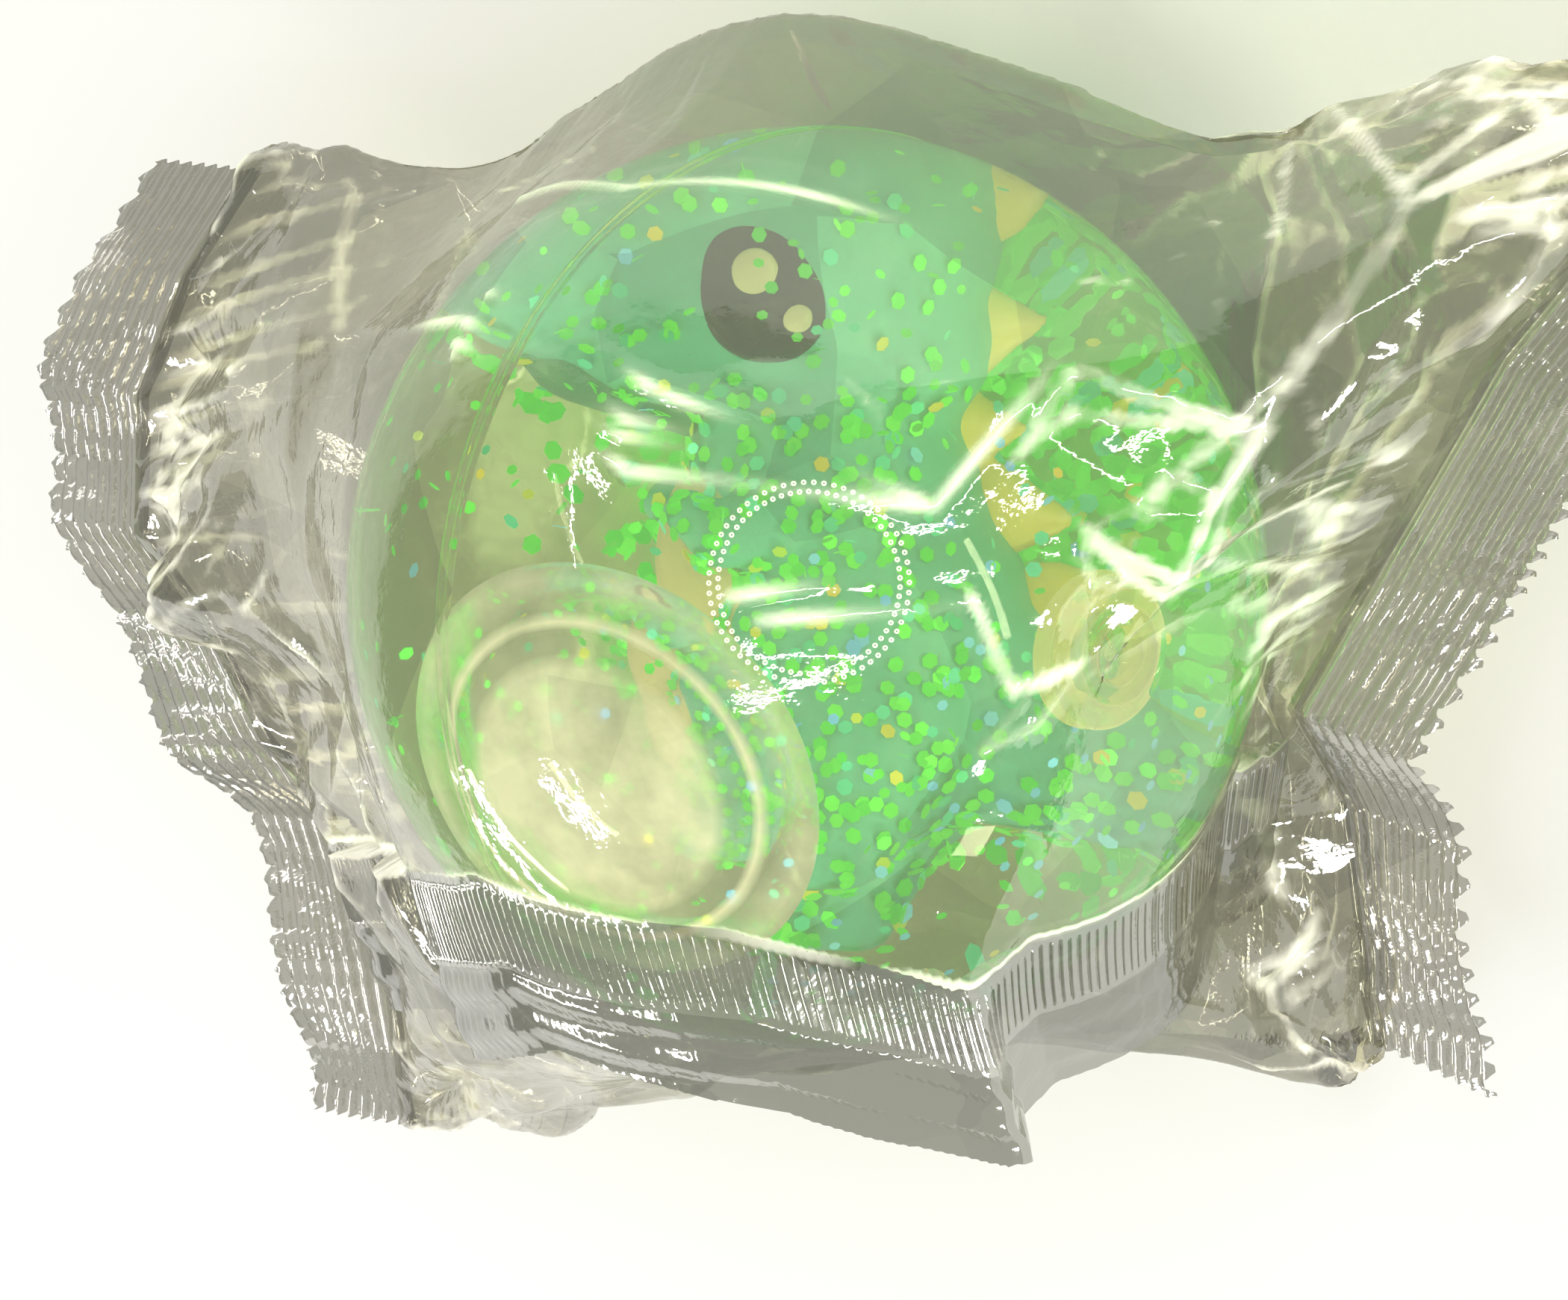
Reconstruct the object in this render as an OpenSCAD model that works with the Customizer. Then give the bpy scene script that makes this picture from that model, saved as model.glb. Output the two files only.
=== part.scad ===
/* [Ball] */
// Outer diameter of the clear ball
ball_d = 75; // [70:0.5:80]
// Thickness of the clear moulded wall
shell_t = 2; // [1.6:0.1:2.4]
// Width of the weld line between the two half shells
seam_w = 1.2; // [0.8:0.1:1.6]
// How far the weld line stands proud of the wall
seam_rise = 0.2; // [0.1:0.05:0.25]

/* [Filling] */
// Depth of the air pocket under the crown of the inner wall
air_depth = 4.6; // [3:0.1:6]
// Radial space between wall and water in which the wall flakes lie
flake_gap = 0.25; // [0.2:0.05:0.4]
// Width of one glitter flake, corner to corner
flake_d = 1.1; // [0.8:0.1:1.4]
// Number of glitter flakes spread over the wall
flake_count = 160; // [80:8:240]

/* [Fill plug] */
// Diameter of the stopper
plug_d = 8.1; // [7:0.1:9]
// Height of the plug above the horizon
plug_tilt = 19; // [15:1:25]
// Outer diameter of the seat that holds the stopper
seat_d = 12; // [11:0.5:13]
// How far the seat reaches into the ball, below the wall
seat_depth = 2.5; // [1.5:0.1:3]

/* [Wrapping film] */
// Drawn thickness of the film, thicker than the real 0.04 mm so that it is a solid
film_t = 0.4; // [0.3:0.05:0.5]
// Space between ball and film
film_gap = 0.7; // [0.6:0.05:1]
// Width of each crimped end seal
end_seal_w = 11; // [9:0.5:12]
// Length of the seal at the end away from the plug
far_seal_l = 98; // [92:1:104]
// Length of the seal at the plug end
plug_seal_l = 116; // [108:1:118]
// Width of the ribbed band of the lengthwise fin seal
fin_band_w = 9; // [7:0.5:10]
// Width of the loose edge beyond that band
fin_edge_w = 10; // [8:0.5:12]
// Pitch of the zigzag cut on the end seals
tooth_pitch = 2.7; // [2:0.1:3.5]

/* [Hidden] */
$fn = 64;
cut = 400;                              // side of the blocks that cut half spaces

ball_r = ball_d/2;
inner_r = ball_r - shell_t;
film_in_r = ball_r + film_gap;
ball_z = film_in_r + film_t;            // ball centre above the table
slip = 0.05;                            // running or bonding gap between round parts
water_r = inner_r - flake_gap;
water_level = inner_r - air_depth;      // above the ball centre
plug_r = plug_d/2;
plug_face = ball_r - 0.3;               // the stopper's face stays inside the ball's outline
plug_len = shell_t + seat_depth;
flake_t = 0.04;
figure_at = [7.2, 8.7, -15];            // middle of the trunk from the ball centre
figure_turn = [120.8, -28.2, -15.7];    // the sunk figure lies on its right side
film_facets = 40;
split_z = 20;                           // level of the film's two side folds
base_r = 14;                            // radius of the patch that rests on the table
fin_y = 14;                             // where the fin seal leaves the film
fin_t = 2*film_t;                       // two plies
rib_pitch = 1.25;
rib_rise = 0.25;

/* ---- frames ---- */
module at_ball() { translate([0, 0, ball_z]) children(); }
module along_plug() { at_ball() rotate([0, plug_tilt - 90, 0]) children(); }
module at_figure() { at_ball() translate(figure_at) rotate(figure_turn) children(); }
module at_far_end() { translate([67, 18, 18]) rotate([0, 0, -6]) children(); }
module at_plug_end() { translate([-50, 6.8, 17]) rotate([-6.8, 0, -25]) mirror([1, 0, 0]) children(); }
module both_sides() { children(); mirror([0, 1, 0]) children(); }
module above(z) { translate([-cut/2, -cut/2, z]) cube(cut); }
module below(z) { translate([-cut/2, -cut/2, z - cut]) cube(cut); }

/* ---- ball ---- */
module wall() { difference() { sphere(ball_r); sphere(inner_r); } }

module shell_plug_half() {
    color([0.80, 0.93, 0.82, 0.4]) along_plug() difference() {
        wall();
        below(seam_w/2);
        cylinder(r = plug_r + slip, h = cut);
    }
}

module shell_plain_half() {
    color([0.80, 0.93, 0.82, 0.4]) along_plug() difference() {
        wall();
        above(-seam_w/2);
    }
}

module seam_weld() {
    color([0.70, 0.86, 0.70]) along_plug() rotate_extrude() {
        translate([inner_r, -seam_w/2]) square([shell_t, seam_w]);
        translate([ball_r, -seam_w/4]) square([seam_rise, seam_w/2]);
    }
}

module plug_seat() {
    color([0.86, 0.90, 0.62]) along_plug() difference() {
        intersection() {
            sphere(inner_r);
            translate([0, 0, plug_face - plug_len]) cylinder(r = seat_d/2, h = cut);
        }
        cylinder(r = plug_r + slip, h = cut);
    }
}

module fill_plug() {
    recess_r = 2.4;
    dimple_r = 0.6;
    color([0.90, 0.93, 0.70]) along_plug() translate([0, 0, plug_face]) difference() {
        translate([0, 0, -plug_len]) cylinder(r = plug_r, h = plug_len);
        translate([0, 0, -1.3]) cylinder(r = recess_r, h = 2);
        translate([0, 0, -1.8]) cylinder(r = dimple_r, h = 2);
    }
}

/* ---- filling ---- */
// Ring cut out of the water, in which the plug seat passes as the ball turns round its filling.
module seat_groove() {
    reach = atan(seat_d/2/(inner_r - seat_depth)) + 1.5;
    low = plug_tilt - reach;
    high = plug_tilt + reach;
    deep = plug_face - plug_len - 1;
    rotate_extrude() polygon([
        deep*[cos(low), sin(low)],
        ball_d*[cos(low), sin(low)],
        ball_d*[cos(high), sin(high)],
        deep*[cos(high), sin(high)]]);
}

// Room for the figure, wide enough for it to drift in.
module figure_room() {
    balls = [[2, 18, 14], [-3, 19, 14], [14, 17, 12], [0, 8, 13], [0, 0, 15],
             [2, -10, 11], [-10, -6, 9], [-17, -9, 7]];
    for (b = balls) translate([b[0], 0, b[1]]) sphere(b[2]);
}

module water_fill() {
    color([0.60, 0.90, 0.66, 0.5]) difference() {
        at_ball() sphere(water_r);
        at_ball() above(water_level);
        at_ball() seat_groove();
        at_figure() figure_room();
    }
}

// Flakes lie flat against the wall on an even spiral, one in four of each colour.
module flakes(kind) {
    seat_low = sin(plug_tilt - 12);
    seat_high = sin(plug_tilt + 12);
    for (i = [kind:4:flake_count - 1]) {
        h = 1 - 2*(i + 0.5)/flake_count;
        if ((h < seat_low || h > seat_high) && h*inner_r < water_level - 1)
            at_ball() rotate([0, acos(h), i*137.508]) translate([0, 0, inner_r - flake_gap/2])
                linear_extrude(flake_t, center = true) circle(d = flake_d, $fn = 6);
    }
}
module glitter_green() { color([0.20, 0.85, 0.15]) flakes(0); }
module glitter_teal() { color([0.10, 0.75, 0.50]) flakes(1); }
module glitter_gold() { color([0.85, 0.75, 0.15]) flakes(2); }
module glitter_blue() { color([0.35, 0.60, 0.95]) flakes(3); }

/* ---- figure, drawn upright: x towards the snout, y to its left, z up ---- */
neck_z = 10;
module blob(p, r) { translate(p) sphere(r, $fn = 20); }

module head_solid() {
    hull() {
        blob([2, 0, 18], 9.2);
        both_sides() blob([14, 2.2, 16.4], 6);
    }
}
module trunk_solid() {
    hull() {
        blob([0, 0, 0], 9);
        blob([0, 0, 12], 6);
    }
}
module tail_solid() {
    hull() {
        blob([-5, 0, -4], 6);
        blob([-13, 0, -7.5], 3.4);
    }
    hull() {
        blob([-13, 0, -7.5], 3.4);
        blob([-19.5, 0, -9.5], 1.4);
    }
}
module leg_solid() {
    hull() {
        blob([0, 5, -7], 4.6);
        blob([1, 5.6, -12], 3.4);
    }
    hull() {
        blob([1, 5.6, -13], 2.4);
        blob([6, 6, -13.4], 2);
    }
}
module arm_solid() {
    hull() {
        blob([5, 7, 4.5], 2.4);
        blob([10.5, 7.5, 2.5], 1.7);
    }
}
module jaw_solid() {
    hull() {
        blob([2, 0, 12.5], 4.5);
        both_sides() blob([12, 1.6, 11.8], 3);
    }
}
module belly_solid() {
    hull() {
        blob([2.2, 0, 1.5], 7.6);
        blob([2.4, 0, -2.5], 7.2);
    }
}
module eye_solid() {
    hull() {
        blob([4.5, 6.6, 19], 3.1);
        blob([4.5, 6.8, 16], 3.1);
    }
}

module dino_head() {
    color([0.20, 0.72, 0.62]) at_figure() difference() {
        head_solid();
        below(neck_z);
    }
}
module dino_jaw() {
    color([0.10, 0.45, 0.32]) at_figure() difference() {
        jaw_solid();
        head_solid();
        trunk_solid();
    }
}
module dino_trunk() {
    color([0.20, 0.72, 0.62]) at_figure() difference() {
        intersection() {
            trunk_solid();
            below(neck_z);
        }
        head_solid();
    }
}
module dino_belly() {
    color([0.92, 0.90, 0.66]) at_figure() difference() {
        belly_solid();
        trunk_solid();
        both_sides() leg_solid();
    }
}
module dino_arms() {
    color([0.20, 0.72, 0.62]) at_figure() difference() {
        both_sides() arm_solid();
        trunk_solid();
        belly_solid();
    }
}
module dino_legs() {
    color([0.20, 0.72, 0.62]) at_figure() difference() {
        both_sides() leg_solid();
        trunk_solid();
    }
}
module dino_tail() {
    color([0.20, 0.72, 0.62]) at_figure() difference() {
        tail_solid();
        trunk_solid();
        both_sides() leg_solid();
    }
}
// Back spikes: place along the back and size, from the crown down to the tail.
module dino_spikes() {
    spikes = [[-4, 25, 50, 6], [-7.5, 18.5, 80, 6], [-7, 11, 95, 5.4], [-8.6, 4.5, 90, 5], [-10.5, -1.5, 75, 4.4]];
    color([0.93, 0.85, 0.30]) at_figure() difference() {
        for (s = spikes) translate([s[0], 0, s[1]]) rotate([90, s[2] - 90, 0])
            linear_extrude(s[3]/2, center = true)
                polygon([[1.5, -s[3]/2], [1.5, s[3]/2], [-s[3]*0.7, 0]]);
        head_solid();
        trunk_solid();
        tail_solid();
    }
}
module dino_eyes() {
    color([0.06, 0.13, 0.22]) at_figure() difference() {
        both_sides() eye_solid();
        head_solid();
    }
}
module dino_eye_glints() {
    color([0.95, 0.93, 0.80]) at_figure() difference() {
        both_sides() {
            blob([5.6, 9.2, 19.2], 1.3);
            blob([3.4, 9.4, 16], 0.9);
        }
        both_sides() eye_solid();
        head_solid();
    }
}

/* ---- bag ---- */
// The bag is taut between the ball, its resting patch, both end seals and the side fold.
module pouch(grow) {
    thick = 0.2 + 2*grow;
    hull() {
        at_ball() sphere(film_in_r + grow, $fn = film_facets);
        translate([0, 0, film_t - grow]) cylinder(r = base_r + grow, h = 1);
        at_far_end() translate([-0.5, 0, 0]) cube([1, far_seal_l, thick], center = true);
        at_plug_end() translate([-0.5, 0, 0]) cube([1, plug_seal_l, thick], center = true);
        translate([-10, -45, split_z + 2]) cube([24, 0.4 + 2*grow, thick], center = true);
    }
}
module film() {
    difference() {
        pouch(film_t);
        pouch(0);
    }
}
module film_upper() {
    color([0.72, 0.70, 0.64, 0.5]) intersection() {
        film();
        above(split_z);
    }
}
module film_lower() {
    color([0.66, 0.64, 0.58, 0.5]) intersection() {
        film();
        below(split_z);
    }
}

// The fin seal is folded down on the film, from its root towards the +Y side.
module fin_strip(from_y, width) {
    intersection() {
        difference() {
            pouch(film_t + fin_t);
            pouch(film_t);
        }
        translate([-48, from_y, ball_z + 6]) cube([108, width, cut]);
    }
}
module fin_seal() { color([0.60, 0.58, 0.52]) fin_strip(fin_y, fin_band_w); }
module fin_edge() { color([0.50, 0.49, 0.44]) fin_strip(fin_y + fin_band_w, fin_edge_w); }

// Crimped band: ribs run along it, and its outer edge is cut in a zigzag.
module crimped_band(len) {
    tooth = 1.4;
    teeth = floor(len/tooth_pitch);
    ribs = floor((end_seal_w - tooth)/rib_pitch);
    intersection() {
        linear_extrude(4, center = true) polygon(concat(
            [[0, -len/2]],
            [for (i = [0:2*teeth]) [end_seal_w - tooth*(i % 2), (i/(2*teeth) - 0.5)*len]],
            [[0, len/2]]));
        rotate([90, 0, 0]) linear_extrude(len, center = true) polygon(concat(
            [for (i = [0:2*ribs]) [i*rib_pitch/2, film_t + rib_rise*(i % 2)]],
            [[end_seal_w, film_t], [end_seal_w, -film_t], [0, -film_t]]));
    }
}
module far_end_seal() { color([0.58, 0.56, 0.50]) at_far_end() crimped_band(far_seal_l); }
module plug_end_seal() { color([0.58, 0.56, 0.50]) at_plug_end() crimped_band(plug_seal_l); }

shell_plug_half();
shell_plain_half();
seam_weld();
plug_seat();
fill_plug();
water_fill();
glitter_green();
glitter_teal();
glitter_gold();
glitter_blue();
dino_head();
dino_jaw();
dino_trunk();
dino_belly();
dino_arms();
dino_legs();
dino_tail();
dino_spikes();
dino_eyes();
dino_eye_glints();
film_upper();
film_lower();
fin_seal();
fin_edge();
plug_end_seal();
far_end_seal();
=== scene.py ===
import math
import random

import bmesh
import bpy
import numpy as np
from mathutils import Euler, Matrix, Vector
from mathutils.bvhtree import BVHTree
from mathutils.geometry import delaunay_2d_cdt


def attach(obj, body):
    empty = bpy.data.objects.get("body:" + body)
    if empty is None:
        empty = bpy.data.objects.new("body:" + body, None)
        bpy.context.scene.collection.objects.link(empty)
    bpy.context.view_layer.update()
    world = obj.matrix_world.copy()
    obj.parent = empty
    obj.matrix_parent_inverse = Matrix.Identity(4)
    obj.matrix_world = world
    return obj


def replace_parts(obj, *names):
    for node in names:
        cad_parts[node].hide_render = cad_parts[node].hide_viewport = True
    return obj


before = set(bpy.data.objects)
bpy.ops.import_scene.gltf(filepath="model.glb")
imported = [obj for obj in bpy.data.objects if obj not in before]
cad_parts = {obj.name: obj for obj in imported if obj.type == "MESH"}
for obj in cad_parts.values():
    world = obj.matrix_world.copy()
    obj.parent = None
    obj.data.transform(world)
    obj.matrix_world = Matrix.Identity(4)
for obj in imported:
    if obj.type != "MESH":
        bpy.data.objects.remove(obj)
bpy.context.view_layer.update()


# ---- Studio ----
# A pale matt table top under large soft lamps. The camera looks down on the bag and is rolled,
# as a hand holds it over a table.
MM = 0.001
ball_centre = Vector((0, 0, 38.6 * MM))


def linear(code):
    """An sRGB colour such as #80a0c0 as linear red, green, blue and alpha."""
    parts = [int(code[i : i + 2], 16) / 255 for i in (1, 3, 5)]
    return [p / 12.92 if p <= 0.04045 else ((p + 0.055) / 1.055) ** 2.4 for p in parts] + [1.0]


def add(tree, kind, links=None, **settings):
    """Adds a node. links gives its inputs by name or number, each a value or another node's output."""
    made = tree.nodes.new("ShaderNode" + kind)
    for name, value in settings.items():
        setattr(made, name, value)
    for name, value in (links or {}).items():
        if isinstance(value, bpy.types.NodeSocket):
            tree.links.new(value, made.inputs[name])
        else:
            made.inputs[name].default_value = value
    return made


def start_material(name):
    made = bpy.data.materials.new(name)
    made.use_nodes = True
    made.node_tree.nodes.clear()
    return made, made.node_tree


def show(tree, shader):
    add(tree, "OutputMaterial", {"Surface": shader.outputs[0]})


def as_piece(name, mesh, material, body, smooth=True):
    """A new object with its mesh in place, one material and the body that it moves with."""
    piece = bpy.data.objects.new(name, mesh)
    bpy.context.scene.collection.objects.link(piece)
    mesh.materials.append(material)
    if smooth:
        mesh.polygons.foreach_set("use_smooth", [True] * len(mesh.polygons))
    if body:
        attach(piece, body)
    return piece


def matt_table():
    made, tree = start_material("painted_table_matt")
    grain = add(tree, "TexNoise", {"Scale": 220.0, "Detail": 3.0})
    bump = add(tree, "Bump", {"Strength": 0.03, "Distance": 0.0002, "Height": grain.outputs["Fac"]})
    base = add(tree, "BsdfPrincipled", {
        "Base Color": linear("#dadbde"), "Roughness": 0.7, "Normal": bump.outputs[0]})
    show(tree, base)
    return made


floor_mesh = bpy.data.meshes.new("table_top")
floor_half = 1.6
floor_mesh.from_pydata(
    [(-floor_half, -floor_half, 0), (floor_half, -floor_half, 0),
     (floor_half, floor_half, 0), (-floor_half, floor_half, 0)], [], [(0, 1, 2, 3)])
table_top = as_piece("table_top", floor_mesh, matt_table(), None)

azimuth, elevation, roll = (math.radians(a) for a in (-54.1, 49.2, -133.7))
back = Vector((math.sin(azimuth) * math.cos(elevation), -math.cos(azimuth) * math.cos(elevation),
               math.sin(elevation)))
level_right = Vector((math.cos(azimuth), math.sin(azimuth), 0))
level_up = back.cross(level_right)
right = level_right * math.cos(roll) + level_up * math.sin(roll)
up = back.cross(right)
view_width = 127.7 * MM
distance = 0.55
aim = ball_centre - right * 1.9 * MM - up * 5.1 * MM
camera_data = bpy.data.cameras.new("camera")
camera_data.sensor_width = 36
camera_data.lens = camera_data.sensor_width * distance / view_width
camera_data.clip_start, camera_data.clip_end = 0.01, 20
camera = bpy.data.objects.new("camera", camera_data)
camera.matrix_world = Matrix.Translation(aim + back * distance) @ Matrix(
    (right, up, back)).transposed().to_4x4()
bpy.context.scene.collection.objects.link(camera)
bpy.context.scene.camera = camera


def soft_lamp(name, place, size, power, mirrored=True):
    """A lamp aimed at the ball. One that isn't mirrored lights the part but shows in no gloss."""
    data = bpy.data.lights.new(name, "AREA")
    data.shape = "RECTANGLE"
    data.size, data.size_y = size
    data.energy = power
    data.color = linear("#fffbf2")[:3]
    lamp = bpy.data.objects.new(name, data)
    lamp.location = place
    lamp.rotation_euler = (ball_centre - Vector(place)).to_track_quat("-Z", "Y").to_euler()
    lamp.visible_glossy = mirrored
    lamp.visible_transmission = mirrored
    bpy.context.scene.collection.objects.link(lamp)


soft_lamp("window_lamp", (-0.55, -0.75, 0.85), (0.6, 0.5), 6.2, mirrored=False)
soft_lamp("fill_lamp", (0.6, 0.7, 0.8), (0.6, 0.5), 4.6, mirrored=False)
soft_lamp("tube_lamp_low", (-0.9, -0.1, 0.24), (0.4, 0.03), 3.0)
soft_lamp("tube_lamp_side", (0.5, -0.6, 0.7), (0.02, 0.4), 0.8)
soft_lamp("tube_lamp_back", (-0.5, 0.7, 0.28), (0.12, 0.1), 3.0)
soft_lamp("tube_lamp_far", (0.8, 0.5, 0.4), (0.4, 0.03), 3.0)
soft_lamp("tube_lamp_high", (0.5, 0.36, 0.75), (0.3, 0.03), 1.6)
soft_lamp("tube_lamp_top", (-0.42, 0.0, 0.9), (0.012, 0.5), 1.2)

world = bpy.data.worlds.new("studio")
bpy.context.scene.world = world
world.use_nodes = True
world.node_tree.nodes["Background"].inputs["Color"].default_value = linear("#ebebe6")
world.node_tree.nodes["Background"].inputs["Strength"].default_value = 0.54
cycles = bpy.context.scene.cycles
cycles.max_bounces = 24
cycles.transmission_bounces = 16
cycles.glossy_bounces = 6
cycles.diffuse_bounces = 3
cycles.transparent_max_bounces = 40
cycles.caustics_reflective = False
cycles.caustics_refractive = True
cycles.sample_clamp_indirect = 5.0
bpy.context.scene.view_settings.view_transform = "Standard"


# ---- Ball wall ----
# Two half shells of clear soft PVC, moulded and then welded round the middle. The weld shows as
# a fine double line, and the wall dips where the fill plug sits at one pole.
ball_r, wall_t = 37.5 * MM, 2.0 * MM
inner_r = ball_r - wall_t
water_level = 30.9 * MM
plug_tilt = math.radians(19)
plug_frame = Matrix.Translation(ball_centre) @ Matrix.Rotation(plug_tilt - math.pi / 2, 4, "Y")
wet_ior = 1.37


def revolved(name, profile, steps, place, flip=False):
    """A closed profile of (radius, height) points turned round the local Z axis."""
    mesh = bpy.data.meshes.new(name)
    shape = bmesh.new()
    rings = []
    for radius, height in profile:
        if radius < 1e-9:
            rings.append([shape.verts.new((0, 0, height))])
            continue
        rings.append([shape.verts.new((radius * math.cos(a), radius * math.sin(a), height))
                      for a in (2 * math.pi * i / steps for i in range(steps))])
    for low, high in zip(rings, rings[1:]):
        for i in range(steps):
            corners = [low[i % len(low)], low[(i + 1) % len(low)],
                       high[(i + 1) % len(high)], high[i % len(high)]]
            corners = list(dict.fromkeys(corners))
            if len(corners) > 2:
                shape.faces.new(corners[::-1] if flip else corners)
    shape.transform(place)
    shape.to_mesh(mesh)
    shape.free()
    return mesh


def through(tree, clear, tint):
    """Lets lamps shine through a refracting surface, as they do through a thin clear wall."""
    path = add(tree, "LightPath")
    open_way = add(tree, "BsdfTransparent", {"Color": linear(tint)})
    return add(tree, "MixShader", {
        0: path.outputs["Is Shadow Ray"], 1: clear.outputs[0], 2: open_way.outputs[0]})


def clear_pvc(name, ior, tint, shade_tint):
    """Clear PVC, moulded: a glossy skin with the long soft waves of the mould, slightly green."""
    made, tree = start_material(name)
    place = add(tree, "TexCoord")
    waves = add(tree, "TexNoise", {"Vector": place.outputs["Object"], "Scale": 90.0, "Detail": 2.0})
    bump = add(tree, "Bump", {"Strength": 0.12, "Distance": 0.0006, "Height": waves.outputs["Fac"]})
    glass = add(tree, "BsdfGlass", {
        "Color": linear(tint), "Roughness": 0.0, "IOR": ior, "Normal": bump.outputs[0]})
    show(tree, through(tree, glass, shade_tint))
    return made


def wet_skin(name, tint):
    """Wet PVC has no edge to see, only a faint cloud in it. Fine glitter dust coats its low side green."""
    made, tree = start_material(name)
    place = add(tree, "TexCoord")
    parts = add(tree, "SeparateXYZ", {"Vector": place.outputs["Object"]})
    cloud = add(tree, "TexNoise", {"Vector": place.outputs["Object"], "Scale": 130.0, "Detail": 4.0})
    uneven = add(tree, "Math", {0: cloud.outputs["Fac"], 1: 0.012, 2: parts.outputs["Z"]},
                 operation="MULTIPLY_ADD")
    dusty = add(tree, "MapRange", {
        "Value": uneven.outputs[0], "From Min": 17.5 * MM, "From Max": 23.5 * MM,
        "To Min": 1.0, "To Max": 0.0})
    colour = add(tree, "ValToRGB", {"Fac": dusty.outputs[0]})
    colour.color_ramp.elements[0].color = linear("#fbf6dc")
    colour.color_ramp.elements[1].color = linear("#7fe04a")
    amount = add(tree, "MapRange", {"Value": dusty.outputs[0], "To Min": 0.10, "To Max": 0.88})
    clear = add(tree, "BsdfTransparent", {"Color": linear(tint)})
    lit_behind = add(tree, "BsdfTranslucent", {"Color": colour.outputs["Color"]})
    lit_before = add(tree, "BsdfDiffuse", {"Color": colour.outputs["Color"]})
    layer = add(tree, "AddShader", {0: lit_behind.outputs[0], 1: lit_before.outputs[0]})
    show(tree, add(tree, "MixShader", {0: amount.outputs[0], 1: clear.outputs[0], 2: layer.outputs[0]}))
    return made


def arc(radius, first, last, count):
    """Points from one angle off the pole to another, in degrees, on a circle round the centre."""
    angles = [math.radians(first + (last - first) * i / max(count, 1)) for i in range(count + 1)]
    return [(radius * math.sin(a), radius * math.cos(a)) for a in angles]


def outer_profile():
    recess_r, recess_deep = 2.2 * MM, 1.2 * MM
    groove = math.degrees(4.1 * MM / ball_r)
    points = [(0.0, ball_r - recess_deep - 0.5 * MM), (0.5 * MM, ball_r - recess_deep - 0.45 * MM),
              (0.7 * MM, ball_r - recess_deep), (recess_r - 0.2 * MM, ball_r - recess_deep),
              (recess_r, ball_r - recess_deep + 0.2 * MM), (recess_r, ball_r - 0.3 * MM),
              (recess_r + 0.2 * MM, ball_r - 0.1 * MM)]
    points += arc(ball_r - 0.08 * MM, 4.2, groove - 0.5, 4)
    points += [(4.0 * MM, ball_r - 0.5 * MM), (4.2 * MM, ball_r - 0.5 * MM)]
    points += arc(ball_r, groove + 0.5, 88.4, 90)
    weld = [(-1.3, 0.0), (-1.0, 0.12), (-0.7, 0.18), (-0.4, 0.05), (0.0, -0.08),
            (0.4, 0.05), (0.7, 0.18), (1.0, 0.12), (1.3, 0.0)]
    for across, rise in weld:
        points += arc(ball_r + rise * MM, 90 + across, 90 + across, 0)
    points += arc(ball_r, 91.6, 180, 90)
    points[-1] = (0.0, -ball_r)
    return points


wall_mesh = revolved("ball_wall", outer_profile(), 288, plug_frame, flip=True)
ball_wall = as_piece("ball_wall", wall_mesh, clear_pvc(
    "pvc_clear_moulded", wet_ior, "#fbfff5", "#f8fff0"), "ball")
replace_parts(ball_wall, "shell_plug_half", "shell_plain_half", "seam_weld")


# ---- Water and air pocket ----
# The ball is filled through its side and closed under water, which leaves a flat air pocket at
# the top. The water climbs the wall in a small rounded rim there.
pocket_r = math.sqrt(inner_r ** 2 - water_level ** 2)
rim = 2.6 * MM


def water_profile():
    """From the bottom up the wet wall to the water's edge, over the rim, and flat to the middle."""
    edge_angle = math.degrees(math.asin(pocket_r / inner_r))
    points = arc(inner_r, 180, edge_angle, 90)
    points[0] = (0.0, -inner_r)
    for i in range(1, 9):
        t = math.pi / 2 * i / 8
        points.append((pocket_r - rim * math.sin(t) * 1.2,
                       water_level - rim * 0.8 * math.sin(t)))
    points += [(pocket_r * (1 - k / 8) * 0.86, water_level - rim * 0.8) for k in range(1, 8)]
    points.append((0.0, water_level - rim * 0.8))
    return points


def pocket_profile():
    edge_angle = math.degrees(math.asin(pocket_r / inner_r))
    points = arc(inner_r, 0, edge_angle, 30)
    points[0] = (0.0, inner_r)
    return points


at_ball = Matrix.Translation(ball_centre)
water_mesh = revolved("water", water_profile(), 160, at_ball)
water = as_piece("water", water_mesh, wet_skin("water_against_wall", "#fafff4"), "filling")
surface_material = clear_pvc("water_surface_still", wet_ior, "#ffffff", "#f4fcf4")
water_mesh.materials.append(surface_material)
for face in water_mesh.polygons:
    middle = face.center - ball_centre
    if middle.length < inner_r - 0.02 * MM and middle.z > water_level - 2 * rim:
        face.material_index = 1
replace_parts(water, "water_fill")


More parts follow.
